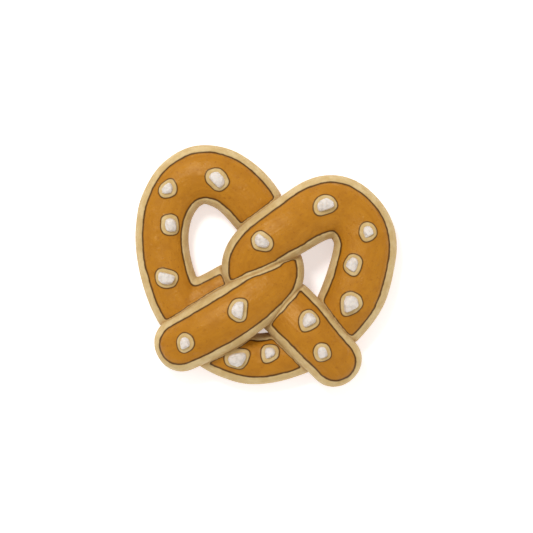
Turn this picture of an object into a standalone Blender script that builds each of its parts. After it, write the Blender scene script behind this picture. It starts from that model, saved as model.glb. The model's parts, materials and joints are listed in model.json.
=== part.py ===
"""A soft pretzel with coarse salt, baked in one piece.

One rope of dough makes the whole of it. From the tip of the left arm it runs up to the twist, turns back
under the other strand, goes round the left loop, along the bottom and round the right loop, crosses over
the first strand, dives under the left arm and ends in the right arm. The pretzel lies flat, as it came off
the tray: +Z is up, the loops point towards +Y and the arms towards -Y. The origin is the middle of its
outline, on the tray.
"""

import math
import random
from typing import NamedTuple

import bmesh
import bpy
from mathutils import Matrix, Vector
from mathutils.bvhtree import BVHTree

MM = 0.001

# Driving dimensions, in millimetres
ROPE_HEIGHT_SHARE = 0.86  # height of the rope's section, as a share of its width
SINK = 2.4  # how deep the round section sits in the flat base that the tray gives it
RING_STEP = 3.2  # distance between two sections along the rope
SIDES = 24  # corners of a section
SECTION_POWER = 2.15  # 2 is an ellipse, more is squarer
RELAXING = 5  # how often each place on the rope is drawn towards the middle of its neighbours
INNER_LIMIT = 0.96  # on the inside of a bend, the share of the bend's radius that dough may take
INNER_SOFTNESS = 8  # less lets the limit set in earlier and more gently
TIP_RINGS = 5  # sections that round off a free end
TIP_LENGTH_SHARE = 0.92  # length of a rounded end, as a share of half its width
SALT_SINK_SHARE = 0.30  # how deep a crystal sits in the crust, as a share of its height
SALT_HEIGHT_SHARE = 0.72  # height of a crystal, as a share of its mean width
SALT_CORNERS = 26  # points on a crystal, before the hull is drawn round them
SALT_POWER = 2.8  # 2 would make round crystals, more makes them squarer
SALT_FLAT_AT = 0.35  # where a crystal's flat side starts, as a share of its reach
SALT_FLATTENING = 0.85  # how much of what stands past the flat side is taken off
SALT_UNEVENNESS = (0.88, 1.06)
SALT_SEED = 11
GOLDEN_ANGLE = math.pi * (3 - math.sqrt(5))
TRAY_SIDE = 200  # the slab that cuts the base flat is wider than the pretzel
TRAY_DEPTH = 20

CRUST_COLOUR = (0.485, 0.205, 0.022, 1.0)
CRUST_ROUGHNESS = 0.42


class Station(NamedTuple):
    """A place on the rope's middle line: where it is, how wide the rope is and how far it is lifted."""

    x: float
    y: float
    width: float
    lift: float


# The left arm, from its tip up to the twist. It lies on the left loop and on the other strand.
LEFT_ARM = (
    Station(-36.2, -32.9, 22.5, 4.2),
    Station(-29.4, -29.4, 23.2, 7.2),
    Station(-20.9, -24.6, 23.7, 8.8),
    Station(-12.4, -19.6, 24.1, 9.0),
    Station(-4.2, -13.7, 22.3, 9.4),
)
# The turn at the twist's right, where the strand comes up from under the other one.
TURN = (
    Station(2.4, -8.4, 22.0, 9.0),
    Station(6.8, -3.8, 20.8, 6.2),
    Station(2.9, 5.2, 19.4, 1.8),
    Station(1.2, 13.8, 20.4, 0.0),
)
LEFT_LOOP = (
    Station(-2.6, 21.5, 23.4, 0.0),
    Station(-8.2, 28.8, 24.0, 0.0),
    Station(-16.0, 35.7, 24.2, 0.0),
    Station(-25.8, 38.8, 25.0, 0.0),
    Station(-35.0, 35.3, 23.3, 0.0),
    Station(-40.6, 27.8, 22.8, 0.0),
    Station(-43.4, 19.4, 21.9, 0.0),
    Station(-44.0, 10.5, 21.7, 0.0),
    Station(-42.7, 0.4, 21.8, 0.0),
    Station(-38.8, -12.1, 21.9, 0.0),
)
BOTTOM = (
    Station(-34.1, -21.3, 21.8, 0.0),
    Station(-26.4, -29.5, 21.8, 0.0),
    Station(-17.0, -35.2, 22.2, 0.0),
    Station(-7.0, -39.4, 20.8, 0.0),
    Station(4.2, -38.0, 20.6, 0.0),
    Station(14.4, -34.2, 21.2, 0.0),
    Station(22.6, -29.5, 22.4, 0.0),
)
RIGHT_LOOP = (
    Station(30.5, -21.5, 24.1, 0.0),
    Station(36.5, -11.8, 27.0, 0.0),
    Station(40.8, 4.1, 25.7, 0.0),
    Station(41.9, 10.7, 26.0, 0.0),
    Station(39.2, 17.3, 25.3, 0.0),
    Station(34.7, 22.9, 24.6, 0.0),
    Station(27.3, 25.8, 26.8, 0.4),
    Station(19.2, 22.9, 25.0, 2.2),
)
# Over the first strand, and down under the left arm.
CROSSING = (
    Station(7.6, 14.9, 24.4, 7.6),
    Station(-1.6, 9.6, 22.0, 8.8),
    Station(-7.0, 2.2, 24.6, 5.6),
    Station(-7.4, -4.6, 24.6, 1.4),
    Station(-0.9, -10.3, 24.2, 0.0),
)
RIGHT_ARM = (
    Station(8.3, -17.7, 24.6, 2.2),
    Station(16.8, -26.7, 24.0, 7.6),
    Station(22.5, -33.1, 23.0, 7.4),
    Station(28.6, -39.7, 22.0, 4.2),
)
ROPE = LEFT_ARM + TURN + LEFT_LOOP + BOTTOM + RIGHT_LOOP + CROSSING + RIGHT_ARM

# Dough that the left arm has pressed out between the left loop and the twist.
PRESSED_WEB = (
    Station(-31.0, -17.2, 19.6, 1.6),
    Station(-21.5, -11.8, 18.6, 2.0),
    Station(-11.5, -6.0, 18.0, 2.0),
)


class Crystal(NamedTuple):
    """A crystal of salt seen from above: its place, length, width and turn, and where its flat side faces."""

    x: float
    y: float
    length: float
    width: float
    turn: float
    flat: float


SALT = (
    # on the left loop
    Crystal(-20.6, 36.0, 7.4, 4.8, -48.0, 225.0),
    Crystal(-41.4, 31.9, 5.1, 4.6, 15.0, 130.0),
    Crystal(-40.3, 17.0, 5.8, 5.0, 100.0, 275.0),
    Crystal(-41.9, -5.5, 7.4, 5.0, -10.0, 75.0),
    # on the right loop
    Crystal(24.1, 25.5, 7.3, 5.1, 15.0, 290.0),
    Crystal(-1.9, 10.4, 6.8, 5.8, -8.0, 50.0),
    Crystal(42.0, 14.2, 4.8, 4.3, -72.0, 295.0),
    Crystal(35.7, 0.6, 5.9, 5.0, 68.0, 240.0),
    Crystal(35.0, -15.8, 7.2, 6.4, -85.0, 292.0),
    # on the left arm
    Crystal(-12.2, -18.2, 7.5, 5.1, 78.0, 355.0),
    Crystal(-33.9, -32.0, 5.2, 4.4, -80.0, 292.0),
    # on the right arm
    Crystal(17.5, -22.7, 6.5, 5.7, -90.0, 290.0),
    Crystal(22.8, -35.8, 4.9, 4.2, -70.0, 290.0),
    # on the bottom
    Crystal(-12.6, -38.6, 7.0, 6.8, -20.0, 100.0),
    Crystal(1.3, -36.4, 5.0, 4.5, -85.0, 292.0),
)


def clear_scene():
    for obj in list(bpy.data.objects):
        bpy.data.objects.remove(obj, do_unlink=True)


def spline_through(stations):
    """Places about RING_STEP apart on a smooth curve through the stations."""
    first = Station(*(2 * a - b for a, b in zip(stations[0], stations[1])))
    last = Station(*(2 * a - b for a, b in zip(stations[-1], stations[-2])))
    knots = [first, *stations, last]
    places = []
    for before, start, end, after in zip(knots, knots[1:], knots[2:], knots[3:]):
        steps = max(1, round(math.dist(start[:2], end[:2]) / RING_STEP))
        places += [between(before, start, end, after, step / steps) for step in range(steps)]
    return [*places, stations[-1]]


def relaxed(places):
    """The places with their bends evened out. The two ends stay."""
    for _ in range(RELAXING):
        inner = [
            Station(*((a + 2 * b + c) / 4 for a, b, c in zip(before, here, after)))
            for before, here, after in zip(places, places[1:], places[2:])
        ]
        places = [places[0], *inner, places[-1]]
    return places


def between(before, start, end, after, t):
    """The place a share t of the way from start to end, on a Catmull-Rom curve."""
    return Station(
        *(
            (2 * b + (c - a) * t + (2 * a - 5 * b + 4 * c - d) * t**2 + (3 * b - 3 * c + d - a) * t**3) / 2
            for a, b, c, d in zip(before, start, end, after)
        )
    )


def middle_of(place):
    """The middle of the rope's section at a place, in mm."""
    return Vector((place.x, place.y, place.lift - SINK + place.width * ROPE_HEIGHT_SHARE / 2))


def bend_at(middles, index):
    """The middle line's curvature seen from above, in 1/mm, positive where it turns left."""
    if not 0 < index < len(middles) - 1:
        return 0.0
    before = (middles[index] - middles[index - 1]).to_2d()
    after = (middles[index + 1] - middles[index]).to_2d()
    turn = before.cross(after) / (before.length * after.length)
    return 2 * math.asin(max(-1.0, min(1.0, turn))) / (before.length + after.length)


def section(width, bend):
    """A section of the rope, as (side, up) points in mm round its middle."""
    half, rise = width / 2, width * ROPE_HEIGHT_SHARE / 2
    power = 2 / SECTION_POWER
    points = []
    for corner in range(SIDES):
        c, s = (f(math.tau * corner / SIDES) for f in (math.cos, math.sin))
        side = half * math.copysign(abs(c) ** power, c)
        crowding = max(0.0, side * bend) / INNER_LIMIT
        side /= (1 + crowding**INNER_SOFTNESS) ** (1 / INNER_SOFTNESS)
        points.append((side, rise * math.copysign(abs(s) ** power, s)))
    return points


def ring_at(middle, along, points, scale=1.0):
    """A section set square to the rope's direction, as points in mm."""
    side = Vector((-along.y, along.x, 0)).normalized()
    up = along.cross(side)
    return [middle + (side * s + up * u) * scale for s, u in points]


def rounded_end(middle, outwards, along, points, half_width):
    """The sections that round off a free end, from the rope outwards."""
    angles = [math.pi / 2 * k / TIP_RINGS for k in range(1, TIP_RINGS)]
    reach = half_width * TIP_LENGTH_SHARE
    return [ring_at(middle + outwards * reach * math.sin(a), along, points, math.cos(a)) for a in angles]


def rings_along(places):
    """All the sections of a rope with rounded ends."""
    middles = [middle_of(place) for place in places]
    rings = []
    for index, place in enumerate(places):
        low, high = max(index - 1, 0), min(index + 1, len(places) - 1)
        along = (middles[high] - middles[low]).normalized()
        points = section(place.width, bend_at(middles, index))
        rings.append(ring_at(middles[index], along, points))
        if index == 0:
            start = rounded_end(middles[0], -along, along, points, place.width / 2)
    end = rounded_end(middles[-1], along, along, points, place.width / 2)
    return [*reversed(start), *rings, *end]


def rope(name, stations):
    """A closed rope through the stations. Where it crosses itself it still has to be fused."""
    mesh = bmesh.new()
    rings = rings_along(relaxed(spline_through(stations)))
    loops = [[mesh.verts.new(point * MM) for point in ring] for ring in rings]
    for loop, following in zip(loops, loops[1:]):
        for i in range(SIDES):
            j = (i + 1) % SIDES
            mesh.faces.new((loop[i], loop[j], following[j], following[i]))
    mesh.faces.new(reversed(loops[0]))
    mesh.faces.new(loops[-1])
    bmesh.ops.recalc_face_normals(mesh, faces=mesh.faces)
    return object_from(name, mesh)


def object_from(name, mesh):
    data = bpy.data.meshes.new(name)
    mesh.to_mesh(data)
    mesh.free()
    obj = bpy.data.objects.new(name, data)
    bpy.context.scene.collection.objects.link(obj)
    return obj


def nugget_corners(grain, draw):
    """The corners of a blunt nugget about 2 units across, flattened on one side."""
    facing = math.radians(grain.flat - grain.turn)
    flat = Vector((math.cos(facing), math.sin(facing), 0))
    for n in range(SALT_CORNERS):
        up = 1 - 2 * (n + 0.5) / SALT_CORNERS
        reach = math.sqrt(1 - up * up)
        angle = GOLDEN_ANGLE * n
        corner = Vector((reach * math.cos(angle), reach * math.sin(angle), up))
        squareness = sum(abs(c) ** SALT_POWER for c in corner) ** (1 / SALT_POWER)
        corner *= draw.uniform(*SALT_UNEVENNESS) / squareness
        over = corner.dot(flat) - SALT_FLAT_AT
        yield corner - flat * max(0.0, over) * SALT_FLATTENING


def crystal(name, grain, top, draw):
    """A blunt nugget of salt, pressed into the crust under it."""
    height = SALT_HEIGHT_SHARE * (grain.length + grain.width) / 2
    mesh = bmesh.new()
    for corner in nugget_corners(grain, draw):
        mesh.verts.new(corner)
    bmesh.ops.convex_hull(mesh, input=mesh.verts)
    bmesh.ops.delete(mesh, geom=[v for v in mesh.verts if not v.link_faces], context="VERTS")
    for axis, size in enumerate((grain.length, grain.width, height)):
        ends = [v.co[axis] for v in mesh.verts]
        middle, scale = (max(ends) + min(ends)) / 2, size * MM / (max(ends) - min(ends))
        for v in mesh.verts:
            v.co[axis] = (v.co[axis] - middle) * scale
    point, normal, _, _ = top.ray_cast(Vector((grain.x * MM, grain.y * MM, 1)), Vector((0, 0, -1)))
    point = point + normal * (0.5 - SALT_SINK_SHARE) * height * MM
    stand = Vector((0, 0, 1)).rotation_difference(normal).to_matrix().to_4x4()
    turn = Matrix.Rotation(math.radians(grain.turn), 4, "Z")
    bmesh.ops.transform(mesh, matrix=Matrix.Translation(point) @ stand @ turn, verts=mesh.verts)
    bmesh.ops.recalc_face_normals(mesh, faces=mesh.faces)
    return object_from(name, mesh)


def tray_cutter():
    """A slab whose top is the tray. It cuts the flat base."""
    mesh = bmesh.new()
    bmesh.ops.create_cube(mesh, size=1.0)
    size = Matrix.Diagonal((TRAY_SIDE * MM, TRAY_SIDE * MM, TRAY_DEPTH * MM, 1))
    place = Matrix.Translation((0, 0, -TRAY_DEPTH / 2 * MM))
    bmesh.ops.transform(mesh, matrix=place @ size, verts=mesh.verts)
    cutter = object_from("tray", mesh)
    cutter.hide_render = True
    cutter.display_type = "WIRE"
    return cutter


def joined(body, others, cutter):
    """The body fused with the others and cut flat underneath, as one mesh."""
    gathered = bpy.data.collections.new("joined")
    for other in others:
        gathered.objects.link(other)
    union = body.modifiers.new("fuse", "BOOLEAN")
    union.operation = "UNION"
    union.solver = "EXACT"
    union.use_self = True  # the rope crosses itself
    union.operand_type = "COLLECTION"
    union.collection = gathered
    cut = body.modifiers.new("flat base", "BOOLEAN")
    cut.operation = "DIFFERENCE"
    cut.solver = "EXACT"
    cut.object = cutter
    bpy.context.view_layer.update()
    graph = bpy.context.evaluated_depsgraph_get()
    made = bpy.data.meshes.new_from_object(body.evaluated_get(graph))
    body.modifiers.clear()
    body.data = made
    for obj in [*others, cutter]:
        bpy.data.objects.remove(obj, do_unlink=True)
    bpy.data.collections.remove(gathered)
    return body


def shell_from(vert):
    """All the vertices that edges join to this one."""
    found, waiting = {vert}, [vert]
    while waiting:
        for edge in waiting.pop().link_edges:
            new = set(edge.verts) - found
            found |= new
            waiting.extend(new)
    return found


def fill_sealed_hollows(obj):
    """Keeps the outer shell alone, so that what fusing has sealed inside becomes solid dough."""
    mesh = bmesh.new()
    mesh.from_mesh(obj.data)
    outer = shell_from(max(mesh.verts, key=lambda vert: vert.co.z))
    bmesh.ops.delete(mesh, geom=[vert for vert in mesh.verts if vert not in outer], context="VERTS")
    mesh.to_mesh(obj.data)
    mesh.free()


def centre_in_plan(obj):
    """Moves the mesh so that the middle of its outline is over the origin."""
    xs, ys = ([v.co[axis] for v in obj.data.vertices] for axis in (0, 1))
    middle = Vector(((min(xs) + max(xs)) / 2, (min(ys) + max(ys)) / 2, 0))
    obj.data.transform(Matrix.Translation(-middle))


def crust_material():
    material = bpy.data.materials.new("crust")
    material.use_nodes = True
    shader = material.node_tree.nodes["Principled BSDF"]
    shader.inputs["Base Color"].default_value = CRUST_COLOUR
    shader.inputs["Roughness"].default_value = CRUST_ROUGHNESS
    shader.inputs["Metallic"].default_value = 0.0
    return material


def main():
    clear_scene()
    pretzel = rope("pretzel", ROPE)
    web = rope("web", PRESSED_WEB)
    top = BVHTree.FromObject(pretzel, bpy.context.evaluated_depsgraph_get())
    draw = random.Random(SALT_SEED)
    grains = [crystal(f"salt_{n}", grain, top, draw) for n, grain in enumerate(SALT)]
    pretzel = joined(pretzel, [web, *grains], tray_cutter())
    fill_sealed_hollows(pretzel)
    centre_in_plan(pretzel)
    pretzel.data.materials.clear()
    pretzel.data.materials.append(crust_material())


main()
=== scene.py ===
"""The looks of a soft pretzel with coarse salt: its baked crust, its salt and the stage that it lies on.

It is laid out as a Blender add-on, with one operator for each piece, and run as a script it makes them all.
The tables of stations and crystals are in millimetres, as a baker would measure them. Other lengths
are in metres, unless a comment or docstring says mm.
"""

import json
import math
import random
from typing import NamedTuple

import bmesh
import bpy
import numpy as np
from mathutils import Matrix, Vector, noise
from mathutils.bvhtree import BVHTree
from mathutils.kdtree import KDTree

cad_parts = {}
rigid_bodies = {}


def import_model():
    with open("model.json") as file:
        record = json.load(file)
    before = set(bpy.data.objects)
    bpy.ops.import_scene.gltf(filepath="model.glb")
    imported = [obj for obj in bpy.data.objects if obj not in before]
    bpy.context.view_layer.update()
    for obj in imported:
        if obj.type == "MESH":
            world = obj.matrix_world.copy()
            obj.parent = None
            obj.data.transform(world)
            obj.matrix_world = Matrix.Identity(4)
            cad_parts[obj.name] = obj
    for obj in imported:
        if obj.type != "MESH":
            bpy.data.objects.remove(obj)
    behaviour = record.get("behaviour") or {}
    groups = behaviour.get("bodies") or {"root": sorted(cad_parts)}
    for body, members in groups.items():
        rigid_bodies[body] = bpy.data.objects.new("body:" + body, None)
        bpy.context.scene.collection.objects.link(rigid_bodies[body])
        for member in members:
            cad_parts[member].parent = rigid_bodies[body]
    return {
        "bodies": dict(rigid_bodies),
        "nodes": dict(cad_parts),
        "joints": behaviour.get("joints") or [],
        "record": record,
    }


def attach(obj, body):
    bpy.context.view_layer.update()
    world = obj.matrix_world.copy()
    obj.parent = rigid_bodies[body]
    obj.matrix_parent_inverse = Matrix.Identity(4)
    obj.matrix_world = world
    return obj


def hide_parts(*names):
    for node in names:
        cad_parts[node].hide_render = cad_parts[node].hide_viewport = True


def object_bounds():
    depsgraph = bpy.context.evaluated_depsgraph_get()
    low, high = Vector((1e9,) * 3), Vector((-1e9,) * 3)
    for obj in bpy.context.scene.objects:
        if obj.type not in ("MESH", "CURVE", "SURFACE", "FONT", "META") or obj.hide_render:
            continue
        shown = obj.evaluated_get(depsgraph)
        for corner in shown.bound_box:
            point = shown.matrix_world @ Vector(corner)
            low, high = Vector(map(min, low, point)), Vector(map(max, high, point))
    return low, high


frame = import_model()
CAD_LOW, CAD_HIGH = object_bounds()

bl_info = {
    "name": "Soft Pretzel",
    "version": (1, 0, 0),
    "blender": (4, 5, 0),
    "location": "View3D > Sidebar > Pretzel",
    "description": "Makes a soft pretzel with a golden crust and coarse salt",
    "category": "Add Mesh",
}

MM = 0.001
NODE = "pretzel"
BODY = "root"

# The rope of dough, as it was rolled
HEIGHT_SHARE = 0.86  # height of the rope's section, as a share of its width
SINK = 2.4  # how deep the round section sits in the flat base, in mm
RING_STEP = 1.6  # distance between two sections, in mm
RELAXING = 20  # how often each place is drawn towards the middle of its neighbours
SIDES = 56
SECTION_POWER = 2.15  # 2 is an ellipse, more is squarer
INNER_LIMIT = 0.96  # on the inside of a bend, the share of the bend's radius that dough may take
INNER_SOFTNESS = 8
TIP_RINGS = 9
TIP_LENGTH_SHARE = 0.92  # length of a rounded end, as a share of half its width
KIN_REACH = 30.0  # stretches of rope closer than this along it are one strand, in mm
OVERHANG = 0.0004  # how much of a seam's pale band hides under the upper strand

# The crust's relief
FUSING_PASSES = 4  # how often the grown-together skin is smoothed
POINTS_AT_A_TIME = 4000  # keeps the arrays of distances small
TRAY_SOFTNESS = 0.00022  # how gently the dough curves up from the tray
SALT_REACH = 0.006  # distances from the salt are measured this far
GRAIN_REACH = 0.011  # and only this near to a crystal's middle
RIM_EVENING = 4  # how often the distances from the rim are evened out
SALT_EVENING = 10  # and those from the salt
TRAY_TO_TOP = (0.0004, 0.0030)  # the relief grows in between these heights
LEVEL_OF_TOP = (-0.35, 0.15)  # the top starts between these levels of the section
LEAN_OF_TOP = (-0.2, 0.2)  # and between these upward parts of the normal
WOBBLE_SIZE, WOBBLE = 0.007, 0.00022
LUMP_SIZE = 0.013
WRINKLE_SIZE = 0.0011
WRINKLE_STRETCH = 0.16  # wrinkles run along the rope
PLEAT_SIZE = 0.0017
PLEAT_STRETCH = 0.25  # pleats run round it, on the inside of tight bends
PLEAT_DEPTH = 3  # in wrinkles
TIGHT_BEND = (0.35, 0.9)  # pleats set in between these tightnesses
RIM_EDGE = 0.0004  # half the width over which the rim's swell falls off
SEAM_WIDTH = 0.0007
COLLAR_FALL = (-0.0007, 0.0003)  # where a collar falls off, from its width
BLISTERED_UPPER = 0.9  # blisters sit only where the crust is this much top
BLISTER_SEED = 5
BLISTER_RADIUS, BLISTER_GROWTH = 0.0009, 0.0014
SMALL_BLISTER = 0.4  # height of the smallest blisters, as a share of the largest


class Station(NamedTuple):
    """A place on the rope's middle line: where it is, the rope's width and its lift, in mm."""

    x: float
    y: float
    width: float
    lift: float


LEFT_ARM = (
    Station(-36.2, -32.9, 22.5, 4.2),
    Station(-29.4, -29.4, 23.2, 7.2),
    Station(-20.9, -24.6, 23.7, 8.8),
    Station(-12.4, -19.6, 24.1, 9.0),
    Station(-4.2, -13.7, 22.3, 9.4),
)
TURN = (
    Station(2.4, -8.4, 22.0, 9.0),
    Station(6.8, -3.8, 20.8, 6.2),
    Station(2.9, 5.2, 19.4, 1.8),
    Station(1.2, 13.8, 20.4, 0.0),
)
LEFT_LOOP = (
    Station(-2.6, 21.5, 23.4, 0.0),
    Station(-8.2, 28.8, 24.0, 0.0),
    Station(-16.0, 35.7, 24.2, 0.0),
    Station(-25.8, 38.8, 25.0, 0.0),
    Station(-35.0, 35.3, 23.3, 0.0),
    Station(-40.6, 27.8, 22.8, 0.0),
    Station(-43.4, 19.4, 21.9, 0.0),
    Station(-44.0, 10.5, 21.7, 0.0),
    Station(-42.7, 0.4, 21.8, 0.0),
    Station(-38.8, -12.1, 21.9, 0.0),
)
BOTTOM = (
    Station(-34.1, -21.3, 21.8, 0.0),
    Station(-26.4, -29.5, 21.8, 0.0),
    Station(-17.0, -35.2, 22.2, 0.0),
    Station(-7.0, -39.4, 20.8, 0.0),
    Station(4.2, -38.0, 20.6, 0.0),
    Station(14.4, -34.2, 21.2, 0.0),
    Station(22.6, -29.5, 22.4, 0.0),
)
RIGHT_LOOP = (
    Station(30.5, -21.5, 24.1, 0.0),
    Station(36.5, -11.8, 27.0, 0.0),
    Station(40.8, 4.1, 25.7, 0.0),
    Station(41.9, 10.7, 26.0, 0.0),
    Station(39.2, 17.3, 25.3, 0.0),
    Station(34.7, 22.9, 24.6, 0.0),
    Station(27.3, 25.8, 26.8, 0.4),
    Station(19.2, 22.9, 25.0, 2.2),
)
CROSSING = (
    Station(7.6, 14.9, 24.4, 7.6),
    Station(-1.6, 9.6, 22.0, 8.8),
    Station(-7.0, 2.2, 24.6, 5.6),
    Station(-7.4, -4.6, 24.6, 1.4),
    Station(-0.9, -10.3, 24.2, 0.0),
)
RIGHT_ARM = (
    Station(8.3, -17.7, 24.6, 2.2),
    Station(16.8, -26.7, 24.0, 7.6),
    Station(22.5, -33.1, 23.0, 7.4),
    Station(28.6, -39.7, 22.0, 4.2),
)
ROPE = LEFT_ARM + TURN + LEFT_LOOP + BOTTOM + RIGHT_LOOP + CROSSING + RIGHT_ARM
WEB_JOINS = LEFT_LOOP[-1]  # the web of dough is pressed out of the loop here
PRESSED_WEB = (
    Station(-31.0, -17.2, 19.6, 1.6),
    Station(-21.5, -11.8, 18.6, 2.0),
    Station(-11.5, -6.0, 18.0, 2.0),
)


class Crystal(NamedTuple):
    """A crystal of salt from above: its place, length and width in mm, and its turn and where
    its flat side faces, in degrees."""

    x: float
    y: float
    length: float
    width: float
    turn: float
    flat: float


SALT = (
    # on the left loop
    Crystal(-20.6, 36.0, 7.4, 4.8, -48.0, 225.0),
    Crystal(-41.4, 31.9, 5.1, 4.6, 15.0, 130.0),
    Crystal(-40.3, 17.0, 5.8, 5.0, 100.0, 275.0),
    Crystal(-41.9, -5.5, 7.4, 5.0, -10.0, 75.0),
    # on the right loop
    Crystal(24.1, 25.5, 7.3, 5.1, 15.0, 290.0),
    Crystal(-1.9, 10.4, 6.8, 5.8, -8.0, 50.0),
    Crystal(42.0, 14.2, 4.8, 4.3, -72.0, 295.0),
    Crystal(35.7, 0.6, 5.9, 5.0, 68.0, 240.0),
    Crystal(35.0, -15.8, 7.2, 6.4, -85.0, 292.0),
    # on the left arm
    Crystal(-12.2, -18.2, 7.5, 5.1, 78.0, 355.0),
    Crystal(-33.9, -32.0, 5.2, 4.4, -80.0, 292.0),
    # on the right arm
    Crystal(17.5, -22.7, 6.5, 5.7, -90.0, 290.0),
    Crystal(22.8, -35.8, 4.9, 4.2, -70.0, 290.0),
    # on the bottom
    Crystal(-12.6, -38.6, 7.0, 6.8, -20.0, 100.0),
    Crystal(1.3, -36.4, 5.0, 4.5, -85.0, 292.0),
)
SALT_SINK_SHARE = 0.30  # how deep a crystal sits in the crust, as a share of its height
SALT_HEIGHT_SHARE = 0.72  # height of a crystal, as a share of its mean width
SALT_CORNERS = 26
SALT_POWER = 2.8  # 2 is a ball, more is squarer
SALT_FLAT_AT = 0.35  # where a crystal's flat side starts, as a share of its reach
SALT_FLATTENING = 0.85
SALT_UNEVENNESS = (0.88, 1.06)
SALT_SEED = 11
WEAR_PASSES = 2
FACET_SIZE = 0.0014
FACET_SHARE = 0.8
FACET_MEAN = 0.35  # taken off, so that facets go in as well as out
ROUGH_SIZE = 0.0005
ROUGH_SHARE = 0.35
SALT_SHARP_ANGLE = 38  # edges sharper than this many degrees stay crisp
SEED_STEP = 7.3  # sets the facets of one crystal apart from those of the next
GOLDEN_ANGLE = math.pi * (3 - math.sqrt(5))

# The materials' patterns: the size of their features and the depth of their bumps, in metres
RAGGED_SIZE, RAGGEDNESS = 0.0028, 0.00006  # unevenness of the line where a browned field ends
FIELD_FROM_RIM = (-0.0001, 0.00025)  # where a field sets in, from the end of the rim
FIELD_FROM_COLLAR = (-0.00025, 0.0001)  # and from the end of a collar
FIELD_UPPER = (0.3, 0.8)  # and between these shares of being the top
MOTTLE_SIZE = 0.0052
STREAK_SIZE = 0.0021
FRECKLE_SIZE = 0.0012
TOAST_SHADE_FROM_RIM = (0.0003, 0.0010)  # where the dark line fades, from the end of the rim; it is toasted crust and also painted shade under the rim's step
TOAST_SHADE_FROM_COLLAR = (0.0001, 0.0007)
PALE_PATCH_SIZE = 0.0042
SEAM_PAINTED_SHADE = (0.0001, 0.0009)  # painted shade in a seam's crease fades between these distances
WAIST_SIZE, WAIST_SWAY = 0.0060, 0.16  # how the golden waist's upper end rises and falls
WAIST_LEVEL = (-0.26, 0.24)  # it ends between these levels of the section
SIDE_PATCH_SIZE = 0.0036
BASE_SPOT_SIZE = 0.0048
BASE_HEIGHT = (0.0001, 0.0022)  # the underside's colour fades out between these heights
BUBBLE_SIZE, BUBBLE_PATCH_SIZE, BUBBLE_DEPTH = 0.0021, 0.006, 0.00010
PORE_SIZE, PORE_DEPTH = 0.00045, 0.00005
CREASE_SIZE, CREASE_DEPTH = 0.0013, 0.00018
CRUMB_SIZE, CRUMB_DEPTH = 0.0009, 0.00009
CRUST_ROUGHNESS = (0.56, 0.66)
FIELD_SMOOTHNESS = 0.27  # how much less rough the browned fields are
CRUST_TINT = (1.0, 0.80, 0.48, 1.0)
SALT_PATCH_SIZE = 0.0016
SALT_GRAIN_SIZE, SALT_GRAIN_DEPTH = 0.00035, 0.00006
SALT_SHEEN_SIZE = 0.0009
SALT_SCATTERING = (0.0011, 0.0009, 0.0007)
FLOOR_PATCH_SIZE, FLOOR_PATCH_SHADE = 0.09, 0.985
WHITE = (1.0, 1.0, 1.0, 1.0)

# The stage, in metres
KEY_PLACE, KEY_SIZE = (-0.30, 0.50, 1.02), 0.30
FILL_PLACE, FILL_SIZE = (0.65, -0.55, 0.75), 0.9
FLOOR_REACH = 3.0
PICTURE_MIDDLE = (0.0002, -0.0003)  # what the camera looks down on


# Settings that a user may change


def length(name, default, description):
    return bpy.props.FloatProperty(
        name=name,
        description=description,
        default=default,
        min=0.0,
        precision=5,
        subtype="DISTANCE",
        unit="LENGTH",
    )


def colour(name, default, description):
    return bpy.props.FloatVectorProperty(
        name=name, description=description, default=default, size=3, min=0.0, max=1.0, subtype="COLOR"
    )


def share(name, default, description):
    return bpy.props.FloatProperty(
        name=name, description=description, default=default, min=0.0, max=1.0, subtype="FACTOR"
    )


def strength(name, default, description):
    return bpy.props.FloatProperty(name=name, description=description, default=default)


class CrustSettings(bpy.types.PropertyGroup):
    grid: length("Grid", 0.00059, "Spacing of the crust's mesh")
    rim_width: length("Rim width", 0.0026, "Width of the pale rim along each strand's edge, seen from above")
    rim_swell: length("Rim swell", 0.00042, "How far the pale rim stands above the browned field")
    collar_width: length("Collar width", 0.0017, "Width of the pale ring round each crystal of salt")
    collar_height: length("Collar height", 0.00055, "How far the ring round a crystal stands up")
    seam_depth: length("Seam depth", 0.00045, "Depth of the crease where two strands meet")
    lump_height: length("Lump height", 0.00028, "Height of the slow unevenness of hand-rolled dough")
    wrinkle_depth: length("Wrinkle depth", 0.00007, "Depth of the fine wrinkles along the rope")
    blister_height: length("Blister height", 0.00028, "Height of the largest blisters in the crust")
    blisters: bpy.props.IntProperty(name="Blisters", description="Number of blisters", default=170, min=0)
    brown: colour("Brown", (0.475, 0.190, 0.0110), "The browned top")
    deep_brown: colour("Deep brown", (0.375, 0.136, 0.006), "Darker patches of the browned top")
    freckle: colour("Freckle", (0.30, 0.095, 0.005), "Small dark freckles of the browned top")
    toast_and_shade: colour("Toast", (0.045, 0.013, 0.002), "The dark line where the browned field ends")
    rim: colour("Rim", (0.568, 0.384, 0.155), "The pale rim, the seams and the rings round the salt")
    pale_rim: colour("Pale rim", (0.655, 0.480, 0.232), "Lighter patches of the rim")
    side: colour("Side", (0.43, 0.190, 0.026), "The baked sides below the rim")
    base: colour("Base", (0.43, 0.195, 0.036), "The underside, baked on the tray")
    base_spots: colour("Base spots", (0.27, 0.102, 0.016), "Darker spots of the underside")


class SaltSettings(bpy.types.PropertyGroup):
    bevel: length("Bevel", 0.00035, "Width of the worn edges of a crystal")
    facet_depth: length("Facet depth", 0.00012, "Depth of the small facets")
    cuts: bpy.props.IntProperty(
        name="Cuts", description="How finely each face is divided", default=3, min=0, max=5
    )
    white: colour("White", (0.74, 0.67, 0.605), "The salt's clean faces")
    shade: colour("Shade", (0.60, 0.53, 0.46), "The salt's duller patches")
    cloudiness: share("Cloudiness", 0.35, "How much light travels inside the salt")


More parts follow.
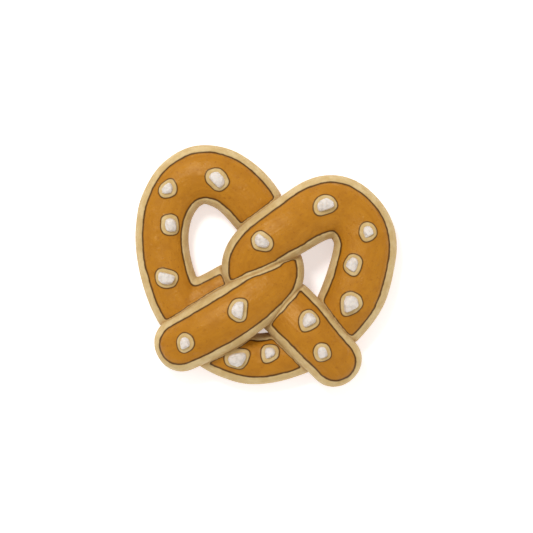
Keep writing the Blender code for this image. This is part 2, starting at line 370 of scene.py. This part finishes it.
class StageSettings(bpy.types.PropertyGroup):
    picture_width: length("Picture width", 0.2224, "How much of the floor the picture shows")
    lens: bpy.props.FloatProperty(name="Lens", description="Focal length in mm", default=500.0, min=20.0)
    aim_height: length("Aim height", 0.010, "Height at which the picture width is measured")
    floor: colour("Floor", (0.93, 0.93, 0.93), "The plain floor")
    glow: strength("Glow", 0.48, "Strength of the light from the floor")
    sky: strength("Sky", 0.65, "Strength of the light from all round")
    key_power: strength("Key power", 6.6, "Watts of the main light")
    fill_power: strength("Fill power", 0.9, "Watts of the fill light")


# The rope of dough


def between(before, start, end, after, t):
    """The place a share t of the way from start to end, on a Catmull-Rom curve."""
    return Station(
        *(
            (2 * b + (c - a) * t + (2 * a - 5 * b + 4 * c - d) * t**2 + (3 * b - 3 * c + d - a) * t**3) / 2
            for a, b, c, d in zip(before, start, end, after)
        )
    )


def spline_through(stations):
    """Places about RING_STEP apart on a smooth curve through the stations."""
    first = Station(*(2 * a - b for a, b in zip(stations[0], stations[1])))
    last = Station(*(2 * a - b for a, b in zip(stations[-1], stations[-2])))
    knots = [first, *stations, last]
    places = []
    for before, start, end, after in zip(knots, knots[1:], knots[2:], knots[3:]):
        steps = max(1, round(math.dist(start[:2], end[:2]) / RING_STEP))
        places += [between(before, start, end, after, step / steps) for step in range(steps)]
    return [*places, stations[-1]]


def relaxed(places):
    """The places with their bends evened out. The two ends stay."""
    for _ in range(RELAXING):
        inner = [
            Station(*((a + 2 * b + c) / 4 for a, b, c in zip(before, here, after)))
            for before, here, after in zip(places, places[1:], places[2:])
        ]
        places = [places[0], *inner, places[-1]]
    return places


class Ring(NamedTuple):
    """A section of the rope: its middle, the rope's direction, half its width and its bend, in mm,
    and its scale, which is under 1 on the rounded ends."""

    middle: Vector
    along: Vector
    half: float
    bend: float
    scale: float


def bend_at(middles, index):
    """The middle line's curvature seen from above, in 1/mm, positive where it turns left."""
    if not 0 < index < len(middles) - 1:
        return 0.0
    before = (middles[index] - middles[index - 1]).to_2d()
    after = (middles[index + 1] - middles[index]).to_2d()
    turn = before.cross(after) / (before.length * after.length)
    return 2 * math.asin(max(-1.0, min(1.0, turn))) / (before.length + after.length)


def rounded_end(ring, outwards):
    """The rings that round off a free end, from the rope outwards."""
    reach = ring.half * TIP_LENGTH_SHARE
    angles = [math.pi / 2 * k / TIP_RINGS for k in range(1, TIP_RINGS)]
    return [
        ring._replace(middle=ring.middle + outwards * reach * math.sin(angle), scale=math.cos(angle))
        for angle in angles
    ]


def rings_along(stations):
    """The rings of a rope, without and with those that round off its ends."""
    places = relaxed(spline_through(stations))
    middles = [Vector((p.x, p.y, p.lift - SINK + p.width * HEIGHT_SHARE / 2)) for p in places]
    rings = []
    for index, place in enumerate(places):
        low, high = max(index - 1, 0), min(index + 1, len(places) - 1)
        along = (middles[high] - middles[low]).normalized()
        rings.append(Ring(middles[index], along, place.width / 2, bend_at(middles, index), 1.0))
    start = rounded_end(rings[0], -rings[0].along)
    end = rounded_end(rings[-1], rings[-1].along)
    return rings, [*reversed(start), *rings, *end]


def side_and_up(ring):
    side = Vector((-ring.along.y, ring.along.x, 0)).normalized()
    return side, ring.along.cross(side)


def section_point(ring, angle):
    """A point of a ring's section, which the inside of a bend crowds in."""
    side, up = side_and_up(ring)
    c, s = math.cos(angle), math.sin(angle)
    power = 2 / SECTION_POWER
    out = ring.half * math.copysign(abs(c) ** power, c)
    crowding = max(0.0, out * ring.bend) / INNER_LIMIT
    out /= (1 + crowding**INNER_SOFTNESS) ** (1 / INNER_SOFTNESS)
    rise = ring.half * HEIGHT_SHARE * math.copysign(abs(s) ** power, s)
    return ring.middle + (side * out + up * rise) * ring.scale


def add_rope(mesh, rings):
    """Adds a closed rope to the mesh: a circle bent to each ring's section, and bridges between them."""
    previous = None
    for ring in rings:
        made = bmesh.ops.create_circle(mesh, segments=SIDES, radius=1.0)["verts"]
        for vert in made:
            vert.co = section_point(ring, math.atan2(vert.co.y, vert.co.x)) * MM
        edges = list({edge for vert in made for edge in vert.link_edges})
        if previous:
            bmesh.ops.bridge_loops(mesh, edges=previous + edges)
        previous = edges
    open_edges = [edge for edge in mesh.edges if edge.is_boundary]
    bmesh.ops.holes_fill(mesh, edges=open_edges, sides=0)


def shaped_dough():
    """The rope and its web as one bmesh of closed tubes, the rings of each, and the shift that sets
    them on the CAD part."""
    mesh = bmesh.new()
    rope, rope_with_ends = rings_along(ROPE)
    web, web_with_ends = rings_along(PRESSED_WEB)
    add_rope(mesh, rope_with_ends)
    add_rope(mesh, web_with_ends)
    bmesh.ops.recalc_face_normals(mesh, faces=mesh.faces)
    corners = [[vert.co[axis] for vert in mesh.verts] for axis in (0, 1)]
    middle = Vector([(min(c) + max(c)) / 2 for c in corners] + [0])
    shift = (CAD_LOW + CAD_HIGH).to_2d().to_3d() / 2 - middle
    bmesh.ops.translate(mesh, verts=mesh.verts, vec=shift)
    return mesh, rope, web, shift


def object_from(name, mesh):
    data = bpy.data.meshes.new(name)
    mesh.to_mesh(data)
    mesh.free()
    obj = bpy.data.objects.new(name, data)
    bpy.context.scene.collection.objects.link(obj)
    return obj


def shell_from(vert):
    """All the vertices that edges join to this one."""
    found, waiting = {vert}, [vert]
    while waiting:
        for edge in waiting.pop().link_edges:
            new = set(edge.verts) - found
            found |= new
            waiting.extend(new)
    return found


def smooth(mesh, passes):
    """Draws the bmesh's vertices halfway to the middle of their neighbours, this many times."""
    for _ in range(passes):
        bmesh.ops.smooth_vert(
            mesh, verts=mesh.verts, factor=0.5, use_axis_x=True, use_axis_y=True, use_axis_z=True
        )


def fused(obj, grid):
    """The object's crossing tubes grown together to one skin, smoothed and without sealed hollows."""
    remesh = obj.modifiers.new("grow together", "REMESH")
    remesh.mode = "VOXEL"
    remesh.voxel_size = grid
    bpy.context.view_layer.update()
    made = bpy.data.meshes.new_from_object(obj.evaluated_get(bpy.context.evaluated_depsgraph_get()))
    obj.modifiers.clear()
    mesh = bmesh.new()
    mesh.from_mesh(made)
    outer = shell_from(max(mesh.verts, key=lambda vert: vert.co.z))
    bmesh.ops.delete(mesh, geom=[vert for vert in mesh.verts if vert not in outer], context="VERTS")
    smooth(mesh, FUSING_PASSES)
    mesh.to_mesh(obj.data)
    mesh.free()
    bpy.data.meshes.remove(made)
    return obj


# The crust's relief. Each function works on numpy arrays of the crust's vertices, in metres.


def smoothstep(values, low, high):
    t = np.clip((values - low) / (high - low), 0.0, 1.0)
    return t * t * (3 - 2 * t)


def vertex_array(mesh, name):
    found = np.empty(len(mesh.vertices) * 3, np.float64)
    mesh.vertices.foreach_get(name, found)
    return found.reshape(-1, 3)


class Lie(NamedTuple):
    """How each vertex lies on the rope: arrays with one entry for each vertex, in metres."""

    rim: np.ndarray  # distance from its strand's edge, seen from above
    level: np.ndarray  # height on the section, from -1 to 1
    gap: np.ndarray  # how far it is from lying on the next strand too
    along: np.ndarray
    round: np.ndarray
    squeeze: np.ndarray  # how tight the bend is on this side, 0 on the outside


def lie_on_rope(points, rope, web, shift):
    rings = rope + web
    middles = np.array([ring.middle * MM + shift for ring in rings])
    alongs = np.array([ring.along for ring in rings])
    frames = [side_and_up(ring) for ring in rings]
    sides, ups = (np.array([frame[k] for frame in frames]) for k in (0, 1))
    halves = np.array([ring.half * MM for ring in rings])
    bends = np.array([ring.bend / MM for ring in rings])
    steps = [0.0] + [(b.middle - a.middle).length * MM for a, b in zip(rope, rope[1:])]
    arcs = np.cumsum(steps)
    joins = np.hypot(*(middles[: len(rope), :2] - shift.to_2d() - np.array(WEB_JOINS[:2]) * MM).T).argmin()
    arcs = np.concatenate([arcs, np.full(len(web), arcs[joins])])
    parts = []
    for chunk in np.array_split(points, len(points) // POINTS_AT_A_TIME + 1):
        offsets = chunk[:, None, :] - middles[None]
        a, s, u = (np.einsum("npk,pk->np", offsets, axes) / halves for axes in (alongs, sides, ups))
        score = a**2 + s**2 + (u / HEIGHT_SHARE) ** 2
        owner = score.argmin(1)
        rows = np.arange(len(chunk))
        kin = np.abs(arcs[None] - arcs[owner][:, None]) < KIN_REACH * MM
        plan = np.where(kin, halves - np.hypot(offsets[..., 0], offsets[..., 1]), -np.inf)
        on_rope, on_web = plan[:, : len(rope)].max(1), plan[:, len(rope) :].max(1)
        on_both = (on_rope > 0) & (on_web > 0)
        stranger = np.where(kin, np.inf, score).min(1)
        own_s, own_u = s[rows, owner], u[rows, owner] / HEIGHT_SHARE
        parts.append(
            (
                np.where(on_both, np.hypot(on_rope, on_web), np.maximum(on_rope, on_web)),
                own_u,
                np.sqrt(stranger) - np.sqrt(score[rows, owner]),
                arcs[owner] + a[rows, owner] * halves[owner],
                np.arctan2(own_s, own_u) * halves[owner],
                np.clip(own_s * bends[owner] * halves[owner], 0.0, 1.0),
            )
        )
    return Lie(*(np.concatenate(column) for column in zip(*parts)))


def tree_of(points):
    """A tree that finds the nearest of the points."""
    tree = KDTree(len(points))
    for index, point in enumerate(points):
        tree.insert(point, index)
    tree.balance()
    return tree


def seams_between(points, ends, lie, settings):
    """Each point's distance from the nearest seam, and from there how wide a pale band the seam needs."""
    a, b = ends[np.abs(lie.along[ends[:, 0]] - lie.along[ends[:, 1]]) > KIN_REACH * MM].T
    share_of_b = (lie.gap[a] / (lie.gap[a] + lie.gap[b] + 1e-9))[:, None]
    places = points[a] * (1 - share_of_b) + points[b] * share_of_b
    bands = np.clip(np.minimum(lie.rim[a], lie.rim[b]) - OVERHANG, 0.0, settings.rim_width / 2)
    tree = tree_of(places)
    nearest = [tree.find(point) for point in points]
    return np.array([n[2] for n in nearest]), bands[[n[1] for n in nearest]]


def evened(values, ends, passes):
    """The values of a mesh's vertices, each drawn towards the mean of its neighbours."""
    a, b = ends.T
    count = np.bincount(a, minlength=len(values)) + np.bincount(b, minlength=len(values))
    for _ in range(passes):
        sums = np.bincount(a, values[b], len(values)) + np.bincount(b, values[a], len(values))
        values = (values + sums / np.maximum(count, 1)) / 2
    return values


def noise_over(points, size, seed):
    """Smooth noise from about -1 to 1 over points, with features of this size."""
    away = Vector((seed, seed * 1.7, seed * 2.3))
    return np.array([noise.noise(Vector(point) + away) for point in points / size])


def bumps(points, centres, radii, heights):
    """Round bumps at some of the points."""
    tree = tree_of(points)
    raised = np.zeros(len(points))
    for centre, radius, height in zip(centres, radii, heights):
        for _, index, distance in tree.find_range(centre, radius):
            raised[index] = max(raised[index], height * (1 - (distance / radius) ** 2) ** 2)
    return raised


def blister_bumps(points, top, settings):
    draw = random.Random(BLISTER_SEED)
    chosen = [points[draw.choice(top)] for _ in range(settings.blisters)]
    sizes = [draw.uniform(0.0, 1.0) ** 2 for _ in chosen]
    radii = [BLISTER_RADIUS + BLISTER_GROWTH * size for size in sizes]
    shares = [SMALL_BLISTER + (1 - SMALL_BLISTER) * size for size in sizes]
    heights = [settings.blister_height * share_of_largest for share_of_largest in shares]
    return bumps(points, chosen, radii, heights)


def flattened_on_tray(points):
    """The points with what would be under the tray's face pressed up to it."""
    points[:, 2] = TRAY_SOFTNESS * np.logaddexp(0.0, points[:, 2] / TRAY_SOFTNESS)
    return points


def distance_from_salt(points, grains):
    """Each point's distance from the nearest crystal, negative inside one and at most SALT_REACH."""
    found = np.full(len(points), SALT_REACH)
    for grain in grains:
        tree = BVHTree.FromBMesh(grain)
        centre = np.mean([vert.co for vert in grain.verts], axis=0)
        near = np.where(np.linalg.norm(points - centre, axis=1) < GRAIN_REACH)[0]
        for index in near:
            place, normal, _, distance = tree.find_nearest(Vector(points[index]), SALT_REACH)
            if place is not None:
                inside = (Vector(points[index]) - place).dot(normal) < 0
                found[index] = min(found[index], -distance if inside else distance)
    return found


def store(mesh, name, values):
    attribute = mesh.attributes.new(name, "FLOAT", "POINT")
    attribute.data.foreach_set("value", np.asarray(values, np.float32))


def dress_crust(mesh, rope, web, shift, grains, settings):
    """Raises the crust's relief and stores what its material reads."""
    points = flattened_on_tray(vertex_array(mesh, "co"))
    mesh.vertices.foreach_set("co", points.ravel())
    mesh.update()
    normals = vertex_array(mesh, "normal")
    ends = np.empty(len(mesh.edges) * 2, np.int32)
    mesh.edges.foreach_get("vertices", ends)
    ends = ends.reshape(-1, 2)
    lie = lie_on_rope(points, rope, web, shift)
    seam, band = seams_between(points, ends, lie, settings)
    rim = evened(np.minimum(lie.rim, seam + settings.rim_width - band), ends, RIM_EVENING)
    salt = evened(distance_from_salt(points, grains), ends, SALT_EVENING)
    off_tray = smoothstep(points[:, 2], *TRAY_TO_TOP)
    upper = smoothstep(lie.level, *LEVEL_OF_TOP) * smoothstep(normals[:, 2], *LEAN_OF_TOP)
    wobble = noise_over(points, WOBBLE_SIZE, 3.0) * WOBBLE
    flow = np.column_stack([lie.along * WRINKLE_STRETCH, lie.round, np.zeros(len(points))])
    pleats = np.column_stack([lie.along, lie.round * PLEAT_STRETCH, np.zeros(len(points))])
    top = np.where((upper > BLISTERED_UPPER) & (rim > settings.rim_width) & (salt > settings.collar_width))[0]

    relief = noise_over(points, LUMP_SIZE, 1.0) * settings.lump_height
    relief += noise_over(flow, WRINKLE_SIZE, 2.0) * settings.wrinkle_depth
    folding = noise_over(pleats, PLEAT_SIZE, 4.0) * settings.wrinkle_depth * PLEAT_DEPTH
    relief += folding * smoothstep(lie.squeeze, *TIGHT_BEND)
    relief += blister_bumps(points, list(top), settings)
    edge, ring = settings.rim_width, settings.collar_width
    swell = 1 - smoothstep(rim + wobble, edge - RIM_EDGE, edge + RIM_EDGE)
    relief += settings.rim_swell * swell * upper
    relief -= settings.seam_depth * np.exp(-((seam / SEAM_WIDTH) ** 2))
    collar = 1 - smoothstep(salt + wobble / 2, *(ring + fall for fall in COLLAR_FALL))
    relief += settings.collar_height * collar
    points += normals * (relief * off_tray)[:, None]
    points[:, 2] = np.maximum(points[:, 2], 0.0)
    mesh.vertices.foreach_set("co", points.ravel())
    mesh.update()

    store(mesh, "rim", rim + wobble)
    store(mesh, "upper", upper)
    store(mesh, "level", lie.level)
    store(mesh, "salt", salt + wobble / 2)
    store(mesh, "seam", seam)
    flow_attribute = mesh.attributes.new("flow", "FLOAT_VECTOR", "POINT")
    flow_attribute.data.foreach_set("vector", flow.astype(np.float32).ravel())
    mesh.shade_smooth()


# Salt


def nugget_corners(grain, draw):
    """The corners of a blunt nugget about 2 units across, flattened on one side."""
    facing = math.radians(grain.flat - grain.turn)
    flat = Vector((math.cos(facing), math.sin(facing), 0))
    for n in range(SALT_CORNERS):
        up = 1 - 2 * (n + 0.5) / SALT_CORNERS
        reach = math.sqrt(1 - up * up)
        angle = GOLDEN_ANGLE * n
        corner = Vector((reach * math.cos(angle), reach * math.sin(angle), up))
        squareness = sum(abs(c) ** SALT_POWER for c in corner) ** (1 / SALT_POWER)
        corner *= draw.uniform(*SALT_UNEVENNESS) / squareness
        over = corner.dot(flat) - SALT_FLAT_AT
        yield corner - flat * max(0.0, over) * SALT_FLATTENING


def nugget(grain, surface, shift, draw):
    """A crystal's plain nugget as a bmesh, pressed into the dough under it."""
    height = SALT_HEIGHT_SHARE * (grain.length + grain.width) / 2
    mesh = bmesh.new()
    for corner in nugget_corners(grain, draw):
        mesh.verts.new(corner)
    bmesh.ops.convex_hull(mesh, input=mesh.verts)
    bmesh.ops.delete(mesh, geom=[v for v in mesh.verts if not v.link_faces], context="VERTS")
    for axis, size in enumerate((grain.length, grain.width, height)):
        ends = [v.co[axis] for v in mesh.verts]
        middle, scale = (max(ends) + min(ends)) / 2, size * MM / (max(ends) - min(ends))
        for v in mesh.verts:
            v.co[axis] = (v.co[axis] - middle) * scale
    above = Vector((grain.x * MM, grain.y * MM, 1)) + shift
    point, normal, _, _ = surface.ray_cast(above, Vector((0, 0, -1)))
    point = point + normal * (0.5 - SALT_SINK_SHARE) * height * MM
    stand = Vector((0, 0, 1)).rotation_difference(normal).to_matrix().to_4x4()
    turn = Matrix.Rotation(math.radians(grain.turn), 4, "Z")
    bmesh.ops.transform(mesh, matrix=Matrix.Translation(point) @ stand @ turn, verts=mesh.verts)
    bmesh.ops.recalc_face_normals(mesh, faces=mesh.faces)
    return mesh


def nuggets_on(dough, shift):
    surface = BVHTree.FromBMesh(dough)
    draw = random.Random(SALT_SEED)
    return [nugget(grain, surface, shift, draw) for grain in SALT]


def weathered(mesh, settings, seed):
    """Wears a nugget's edges round and breaks its faces into small facets."""
    bmesh.ops.bevel(
        mesh,
        geom=mesh.edges[:],
        offset=settings.bevel,
        affect="EDGES",
        segments=2,
        profile=0.5,
        material=-1,
    )
    bmesh.ops.triangulate(mesh, faces=mesh.faces)
    bmesh.ops.subdivide_edges(mesh, edges=mesh.edges, cuts=settings.cuts, use_grid_fill=True)
    smooth(mesh, WEAR_PASSES)
    mesh.normal_update()
    for vert in mesh.verts:
        place = vert.co / FACET_SIZE + Vector((seed, 0, 0))
        near, next_near = noise.voronoi(place)[0][:2]
        facet = (next_near - near) - FACET_MEAN
        rough = noise.fractal(vert.co / ROUGH_SIZE, 1.0, 2.0, 3)
        vert.co += vert.normal * settings.facet_depth * (FACET_SHARE * facet + ROUGH_SHARE * rough)


# Materials


class Finish:
    """A material's node tree, with short calls for the nodes that the finishes here use."""

    def __init__(self, name):
        self.material = bpy.data.materials.new(name)
        self.material.use_nodes = True
        self.tree = self.material.node_tree
        self.shader = self.tree.nodes["Principled BSDF"]
        self.place = self.node("ShaderNodeTexCoord").outputs["Object"]

    def node(self, kind, inputs=(), **settings):
        made = self.tree.nodes.new(kind)
        for key, value in settings.items():
            setattr(made, key, value)
        for key, value in dict(inputs).items():
            self.feed(made.inputs[key], value)
        return made

    def feed(self, socket, value):
        if isinstance(value, bpy.types.NodeSocket):
            self.tree.links.new(value, socket)
        else:
            socket.default_value = value

    def read(self, name, output="Fac"):
        return self.node("ShaderNodeAttribute", attribute_name=name).outputs[output]

    def step(self, value, low, high, start=0.0, end=1.0):
        """Goes smoothly from start to end as value goes from low to high."""
        inputs = {"Value": value, "From Min": low, "From Max": high, "To Min": start, "To Max": end}
        return self.node("ShaderNodeMapRange", inputs, interpolation_type="SMOOTHSTEP").outputs["Result"]

    def math(self, operation, a, b):
        return self.node("ShaderNodeMath", {0: a, 1: b}, operation=operation).outputs["Value"]

    def mix(self, share_of_b, a, b):
        """Colour a, with share_of_b of colour b."""
        made = self.node("ShaderNodeMix", data_type="RGBA")
        self.feed(made.inputs["Factor"], share_of_b)
        for socket, value in ((made.inputs[6], a), (made.inputs[7], b)):
            self.feed(socket, value if isinstance(value, bpy.types.NodeSocket) else (*value, 1.0))
        return made.outputs[2]

    def grain(self, size, detail=2.0, roughness=0.5, where=None):
        """Noise from 0 to 1 with features of this size."""
        inputs = {"Vector": where or self.place, "Scale": 1 / size, "Detail": detail, "Roughness": roughness}
        return self.node("ShaderNodeTexNoise", inputs).outputs["Fac"]

    def cells(self, size):
        """The distance from the middles of cells of this size, in cells."""
        inputs = {"Vector": self.place, "Scale": 1 / size}
        return self.node("ShaderNodeTexVoronoi", inputs).outputs["Distance"]

    def bump(self, height, distance, normal=None):
        inputs = {"Height": height, "Distance": distance, "Strength": 1.0}
        made = self.node("ShaderNodeBump", inputs)
        if normal:
            self.feed(made.inputs["Normal"], normal)
        return made.outputs["Normal"]

    def coat(self, **values):
        """Sets the shader's own sockets, named with underscores for spaces."""
        for key, value in values.items():
            self.feed(self.shader.inputs[key.replace("_", " ")], value)
        return self.material


def crust_finish(s):
    """Golden-brown fields with a dark edge that is toasted crust and also painted shade, pale rims and
    collars, and a tray-baked underside.
    """
    f = Finish("crust")
    rim, salt, upper, flow = f.read("rim"), f.read("salt"), f.read("upper"), f.read("flow", "Vector")
    ragged = f.step(f.grain(RAGGED_SIZE, 2.0), 0.3, 0.7, -RAGGEDNESS, RAGGEDNESS)
    rim = f.math("ADD", rim, ragged)
    salt = f.math("ADD", salt, ragged)
    edge, ring = s.rim_width, s.collar_width
    inside = f.step(rim, *(edge + away for away in FIELD_FROM_RIM))
    clear = f.step(salt, *(ring + away for away in FIELD_FROM_COLLAR))
    field = f.math("MULTIPLY", f.math("MULTIPLY", inside, clear), f.step(upper, *FIELD_UPPER))

    mottle = f.step(f.grain(MOTTLE_SIZE, 3.0, 0.55), 0.38, 0.68)
    streaks = f.step(f.grain(STREAK_SIZE, 2.0, 0.5, flow), 0.35, 0.75, 0.0, 0.5)
    patches = f.math("MAXIMUM", f.math("MULTIPLY", mottle, 0.6), streaks)
    brown = f.mix(patches, s.brown, s.deep_brown)
    brown = f.mix(f.step(f.grain(FRECKLE_SIZE, 2.0), 0.60, 0.72, 0.0, 0.45), brown, s.freckle)
    # Painted shade, also read as toasted crust: a dark line in the field along the foot of the raised rim and
    # of each collar
    near_edge = f.step(rim, *(edge + away for away in TOAST_SHADE_FROM_RIM), 0.95, 0.0)
    near_ring = f.step(salt, *(ring + away for away in TOAST_SHADE_FROM_COLLAR), 0.93, 0.0)
    brown = f.mix(f.math("MAXIMUM", near_edge, near_ring), brown, s.toast_and_shade)

    pale = f.mix(f.step(f.grain(PALE_PATCH_SIZE, 3.0), 0.35, 0.7), s.rim, s.pale_rim)
    # Painted shade: the pale band darkens towards deep brown in the crease of each seam
    pale = f.mix(f.step(f.read("seam"), *SEAM_PAINTED_SHADE, 0.4, 0.0), pale, s.deep_brown)
    baked = f.step(f.grain(WAIST_SIZE, 4.0, 0.6), 0.25, 0.75, -WAIST_SWAY, WAIST_SWAY)
    waist = f.step(f.math("ADD", f.read("level"), baked), *WAIST_LEVEL, 1.0, 0.0)
    side = f.mix(f.step(f.grain(SIDE_PATCH_SIZE, 3.0), 0.35, 0.75), s.side, s.deep_brown)
    pale = f.mix(waist, pale, side)
    crust = f.mix(field, pale, brown)

    height = f.node("ShaderNodeSeparateXYZ", {0: f.place}).outputs["Z"]
    spots = f.step(f.grain(BASE_SPOT_SIZE, 5.0, 0.62), 0.28, 0.78)
    base = f.mix(spots, s.base, s.base_spots)
    crust = f.mix(f.step(height, *BASE_HEIGHT, 1.0, 0.0), crust, base)

    domes = f.step(f.cells(BUBBLE_SIZE), 0.10, 0.42, 1.0, 0.0)
    bubbles = f.math("MULTIPLY", domes, f.step(f.grain(BUBBLE_PATCH_SIZE), 0.45, 0.65))
    skin = f.bump(f.step(f.grain(PORE_SIZE), 0.25, 0.75), PORE_DEPTH)
    skin = f.bump(f.grain(CREASE_SIZE, 4.0, 0.6, flow), CREASE_DEPTH, skin)
    skin = f.bump(f.math("MULTIPLY", bubbles, field), BUBBLE_DEPTH, skin)
    crumb = f.step(f.cells(CRUMB_SIZE), 0.05, 0.40)
    crumb = f.math("MULTIPLY", crumb, f.step(field, 0.0, 1.0, 1.0, 0.0))
    skin = f.bump(crumb, CRUMB_DEPTH, skin)
    smoothness = f.math("MULTIPLY", field, -FIELD_SMOOTHNESS)
    dullness = f.math("ADD", smoothness, f.step(mottle, 0.0, 1.0, *CRUST_ROUGHNESS))
    return f.coat(
        Base_Color=crust,
        Roughness=dullness,
        Specular_IOR_Level=0.36,
        Specular_Tint=CRUST_TINT,
        Normal=skin,
    )


def salt_finish(s):
    """Cloudy off-white salt with a fine crystalline grain."""
    f = Finish("salt")
    white = f.mix(f.step(f.grain(SALT_PATCH_SIZE, 3.0), 0.4, 0.7), s.white, s.shade)
    skin = f.bump(f.grain(SALT_GRAIN_SIZE, 3.0, 0.6), SALT_GRAIN_DEPTH)
    return f.coat(
        Base_Color=white,
        Roughness=f.step(f.grain(SALT_SHEEN_SIZE), 0.3, 0.7, 0.30, 0.55),
        Subsurface_Weight=s.cloudiness,
        Subsurface_Radius=SALT_SCATTERING,
        Subsurface_Scale=1.0,
        Specular_IOR_Level=0.45,
        Normal=skin,
    )


def floor_finish(s):
    """A plain matt floor with the faintest unevenness, which also glows as painted light to brighten itself
    and the shade near the pretzel.
    """
    f = Finish("floor")
    shade = [FLOOR_PATCH_SHADE * c for c in s.floor]
    tone = f.mix(f.step(f.grain(FLOOR_PATCH_SIZE, 2.0), 0.3, 0.7), s.floor, shade)
    return f.coat(
        Base_Color=tone,
        Roughness=0.9,
        Specular_IOR_Level=0.1,
        Emission_Color=WHITE,
        Emission_Strength=s.glow,
    )


# Operators


class PRETZEL_OT_crust(bpy.types.Operator):
    """Make the pretzel's crust: the fused rope of dough with its relief and browning"""

    bl_idname = "pretzel.crust"
    bl_label = "Crust"

    def execute(self, context):
        settings = context.scene.pretzel_crust
        dough, rope, web, shift = shaped_dough()
        grains = nuggets_on(dough, shift)
        crust = fused(object_from("crust", dough), settings.grid)
        dress_crust(crust.data, rope, web, shift, grains, settings)
        for grain in grains:
            grain.free()
        crust.data.materials.append(crust_finish(settings))
        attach(crust, BODY)
        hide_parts(NODE)
        return {"FINISHED"}


class PRETZEL_OT_salt(bpy.types.Operator):
    """Strew the coarse salt, each crystal pressed into the crust"""

    bl_idname = "pretzel.salt"
    bl_label = "Salt"

    def execute(self, context):
        settings = context.scene.pretzel_salt
        dough, _, _, shift = shaped_dough()
        heap = bmesh.new()
        for seed, grain in enumerate(nuggets_on(dough, shift)):
            weathered(grain, settings, seed * SEED_STEP)
            one = bpy.data.meshes.new("grain")
            grain.to_mesh(one)
            grain.free()
            heap.from_mesh(one)
            bpy.data.meshes.remove(one)
        dough.free()
        salt = object_from("salt", heap)
        salt.data.shade_smooth()
        salt.data.set_sharp_from_angle(angle=math.radians(SALT_SHARP_ANGLE))
        salt.data.materials.append(salt_finish(settings))
        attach(salt, BODY)
        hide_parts(NODE)
        return {"FINISHED"}


class PRETZEL_OT_stage(bpy.types.Operator):
    """Make the plain floor, the soft lights and the camera that looks straight down"""

    bl_idname = "pretzel.stage"
    bl_label = "Stage"

    def execute(self, context):
        settings = context.scene.pretzel_stage
        self.make_floor(settings)
        self.make_light("key", KEY_PLACE, KEY_SIZE, settings.key_power)
        self.make_light("fill", FILL_PLACE, FILL_SIZE, settings.fill_power)
        self.make_sky(settings.sky)
        self.make_camera(settings)
        context.scene.view_settings.view_transform = "Standard"
        return {"FINISHED"}

    def make_floor(self, settings):
        mesh = bmesh.new()
        bmesh.ops.create_grid(mesh, x_segments=1, y_segments=1, size=FLOOR_REACH)
        floor = object_from("floor", mesh)
        floor.data.materials.append(floor_finish(settings))

    def make_light(self, name, place, size, power):
        data = bpy.data.lights.new(name, "AREA")
        data.shape = "DISK"
        data.size = size
        data.energy = power
        light = bpy.data.objects.new(name, data)
        light.location = place
        light.rotation_euler = (-Vector(place)).to_track_quat("-Z", "Y").to_euler()
        bpy.context.scene.collection.objects.link(light)

    def make_sky(self, strength):
        world = bpy.data.worlds.new("sky")
        world.use_nodes = True
        light = world.node_tree.nodes["Background"]
        light.inputs["Color"].default_value = WHITE
        light.inputs["Strength"].default_value = strength
        bpy.context.scene.world = world

    def make_camera(self, settings):
        data = bpy.data.cameras.new("camera")
        data.lens = settings.lens
        camera = bpy.data.objects.new("camera", data)
        distance = settings.picture_width * settings.lens / data.sensor_width
        camera.location = (*PICTURE_MIDDLE, settings.aim_height + distance)
        bpy.context.scene.collection.objects.link(camera)
        bpy.context.scene.camera = camera


class PRETZEL_PT_panel(bpy.types.Panel):
    """Lists the pretzel's pieces and their settings"""

    bl_idname = "PRETZEL_PT_panel"
    bl_label = "Soft Pretzel"
    bl_space_type = "VIEW_3D"
    bl_region_type = "UI"
    bl_category = "Pretzel"

    def draw(self, context):
        for operator, settings in (
            (PRETZEL_OT_crust, context.scene.pretzel_crust),
            (PRETZEL_OT_salt, context.scene.pretzel_salt),
            (PRETZEL_OT_stage, context.scene.pretzel_stage),
        ):
            box = self.layout.box()
            box.operator(operator.bl_idname)
            for name in settings.__annotations__:
                box.prop(settings, name)


SETTINGS = {
    "pretzel_crust": CrustSettings,
    "pretzel_salt": SaltSettings,
    "pretzel_stage": StageSettings,
}
CLASSES = (*SETTINGS.values(), PRETZEL_OT_crust, PRETZEL_OT_salt, PRETZEL_OT_stage, PRETZEL_PT_panel)


def register():
    for made in CLASSES:
        bpy.utils.register_class(made)
    for name, group in SETTINGS.items():
        setattr(bpy.types.Scene, name, bpy.props.PointerProperty(type=group))


def unregister():
    for name in SETTINGS:
        delattr(bpy.types.Scene, name)
    for made in reversed(CLASSES):
        bpy.utils.unregister_class(made)


def main():
    register()
    bpy.ops.pretzel.stage()
    bpy.ops.pretzel.crust()
    bpy.ops.pretzel.salt()


if __name__ == "__main__":
    main()
